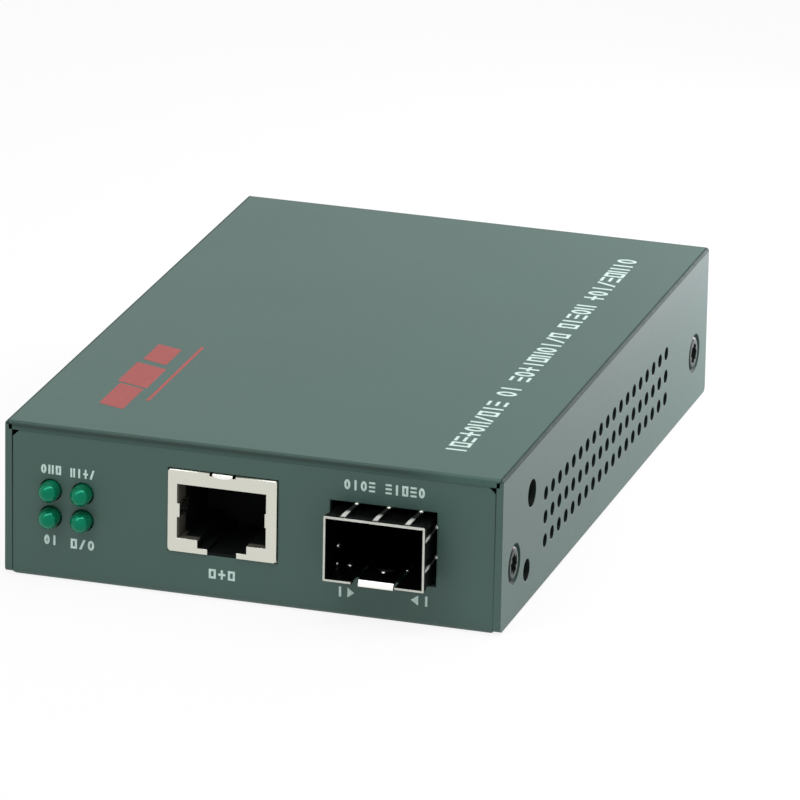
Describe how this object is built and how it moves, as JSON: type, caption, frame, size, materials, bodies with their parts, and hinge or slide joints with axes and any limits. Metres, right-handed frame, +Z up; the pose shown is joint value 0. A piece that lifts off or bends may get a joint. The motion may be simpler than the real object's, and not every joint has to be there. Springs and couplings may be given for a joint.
{
  "type": "fibre media converter",
  "caption": "Small folded-steel desktop case that links a copper network port to a cage for a pluggable fibre module, with indicator lamps and a rear DC inlet.",
  "frame": {"origin": "centre of the case's flat underside, halfway between the cover's two ends", "axes": "+X to the right seen from the front, +Y from the front panel to the rear panel, +Z up"},
  "size_m": [0.0724, 0.1126, 0.023],
  "materials": {
    "case_paint": "fine-grained grey-green powder coat",
    "screw_steel": "zinc-plated steel",
    "shield_metal": "bright tin-plated sheet",
    "cage_metal": "nickel-plated sheet",
    "board_green": "green solder mask",
    "port_moulding": "black moulded plastic",
    "black_moulding": "black moulded plastic",
    "contact_gold": "gold-plated contacts",
    "lead_tin": "tinned leads",
    "chip_black": "dark moulded packages",
    "can_metal": "plain metal cans",
    "lamp_green": "clear-tinted green lens, unlit"
  },
  "bodies": {
    "root": {"top_cover": "case_paint", "base_tray": "case_paint", "cover_screws": "screw_steel", "board_screws": "screw_steel", "board_standoffs": "screw_steel", "copper_port_shield": "shield_metal", "module_cage": "cage_metal", "cage_ground_fingers": "cage_metal", "circuit_board": "board_green", "copper_port_body": "port_moulding", "module_connector": "black_moulding", "lamp_holder": "black_moulding", "dc_jack_body": "black_moulding", "copper_port_contacts": "contact_gold", "module_connector_contacts": "contact_gold", "lamp_leads": "lead_tin", "dc_jack_pin": "lead_tin", "dc_jack_spring": "lead_tin", "network_transformer": "chip_black", "converter_chip": "chip_black", "line_chip": "chip_black", "memory_chip": "chip_black", "power_regulator": "chip_black", "power_inductor": "chip_black", "chip_resistors": "chip_black", "crystal": "can_metal", "smoothing_capacitors": "can_metal", "lamp_lower_left": "lamp_green", "lamp_upper_left": "lamp_green", "lamp_lower_right": "lamp_green", "lamp_upper_right": "lamp_green"}
  },
  "joints": []
}
